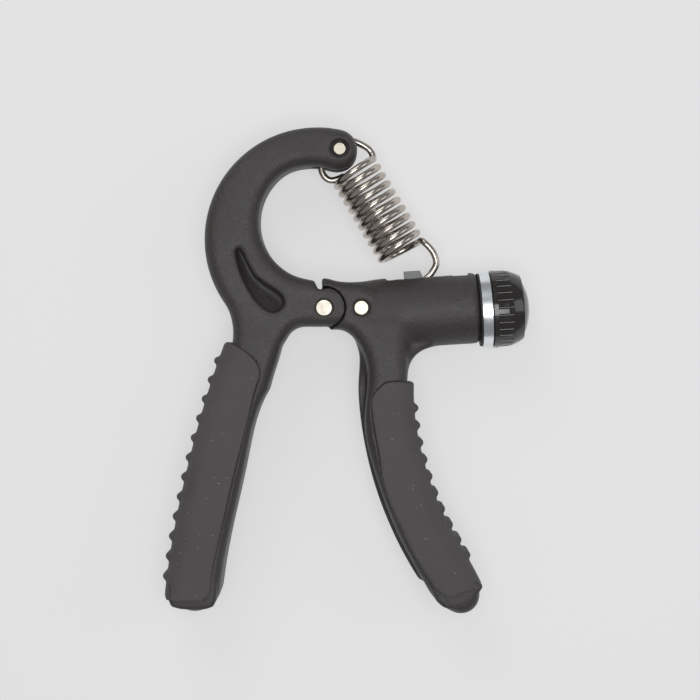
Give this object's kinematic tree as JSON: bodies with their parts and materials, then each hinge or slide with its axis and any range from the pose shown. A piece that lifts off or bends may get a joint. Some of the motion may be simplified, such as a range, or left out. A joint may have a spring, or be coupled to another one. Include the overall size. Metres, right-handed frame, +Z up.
{
  "type": "hand grip strengthener",
  "caption": "Sprung hand exerciser: two soft-gripped handles hinged in scissors fashion, a curved arm holding a tension coil spring, and a barrel with a screw knob that sets its pull.",
  "frame": {"origin": "centre of the bounding box in plan, on the plane the soft grips' back faces rest on", "axes": "+Y from the handle ends to the top of the spring arm, +Z up through the thickness towards the face with the rivet heads, +X towards the adjusting knob"},
  "size_m": [0.1212, 0.1602, 0.026],
  "materials": {
    "body_plastic": "fine matte grain, nearly black",
    "grip_rubber": "soft dark grey thermoplastic rubber",
    "rivet_steel": "bright nickelled steel",
    "bush_plastic": "natural acetal",
    "slider_plastic": "mid-grey moulded plastic",
    "brass_nut": "machined",
    "screw_steel": "zinc-plated steel",
    "collar_zinc": "bright zinc plate",
    "gasket_rubber": "black rubber",
    "knob_plastic": "glossy black",
    "spring_nickel": "dark bright nickel"
  },
  "bodies": {
    "arm": {"arm_handle": "body_plastic", "arm_grip": "grip_rubber", "pivot_rivet": "rivet_steel", "spring_pin": "rivet_steel", "arm_tail_washers": "rivet_steel", "pivot_washers": "bush_plastic"},
    "barrel": {"barrel_handle": "body_plastic", "barrel_grip": "grip_rubber", "anchor_rivet": "rivet_steel", "anchor_tail_washer": "rivet_steel", "pivot_bush": "bush_plastic", "screw_end_block": "slider_plastic", "end_collar": "collar_zinc", "collar_gasket": "gasket_rubber"},
    "knob": {"adjusting_knob": "knob_plastic", "knob_nut": "screw_steel", "knob_cap": "knob_plastic", "adjusting_screw": "screw_steel", "screw_clip": "screw_steel", "thrust_washer": "bush_plastic"},
    "slider": {"slider_block": "slider_plastic", "slider_nut": "brass_nut", "hook_pin": "rivet_steel"},
    "pin_roller": {"spring_pin_roller": "bush_plastic"},
    "spring_top": {"spring_top_loop": "spring_nickel"},
    "spring_middle": {"spring_coil": "spring_nickel"},
    "spring_end": {"spring_hook": "spring_nickel"}
  },
  "joints": [
    {"name": "squeeze", "type": "hinge", "parent": "arm", "child": "barrel", "pos_m": [-0.0076, 0.0202, 0.013], "axis": [0, 0, -1], "range_deg": [0, 20], "stiffness_Nm_per_rad": 10, "springref_deg": -11.46},
    {"name": "knob_turn", "type": "hinge", "parent": "barrel", "child": "knob", "pos_m": [-0.00734, 0.01628, 0.013], "axis": [0.9978, 0.0663, 0], "range_deg": [-1200, 1320]},
    {"name": "slider_travel", "type": "slide", "parent": "barrel", "child": "slider", "axis": [0.9978, 0.0663, 0], "range_m": [-0.00551, 0.00501]},
    {"name": "roller_turn", "type": "hinge", "parent": "arm", "child": "pin_roller", "pos_m": [-0.0025, 0.0727, 0.013], "axis": [0, 0, -1], "range_deg": [0, 6.3]},
    {"name": "spring_swing", "type": "hinge", "parent": "pin_roller", "child": "spring_top", "pos_m": [-0.0025, 0.0727, 0.013], "axis": [0, 0, 1], "range_deg": [-4.2, 3.8]},
    {"name": "spring_stretch", "type": "slide", "parent": "spring_top", "child": "spring_middle", "axis": [0.5681, -0.8229, 0], "range_m": [0, 0.0113], "deforming": ["spring_coil"]},
    {"name": "spring_set", "type": "slide", "parent": "spring_middle", "child": "spring_end", "axis": [0.5681, -0.8229, 0], "range_m": [-0.0033, 0.003], "deforming": ["spring_coil"]}
  ],
  "couplings": [
    {"joint": "slider_travel", "follows": "knob_turn", "m_per_rad": -0.00023873},
    {"joint": "roller_turn", "follows": "squeeze", "ratio": 0.31},
    {"joint": "spring_swing", "follows": "knob_turn", "ratio": -0.0031417},
    {"joint": "spring_stretch", "follows": "squeeze", "m_per_rad": 0.0322},
    {"joint": "spring_set", "follows": "knob_turn", "m_per_rad": -0.00014038}
  ]
}
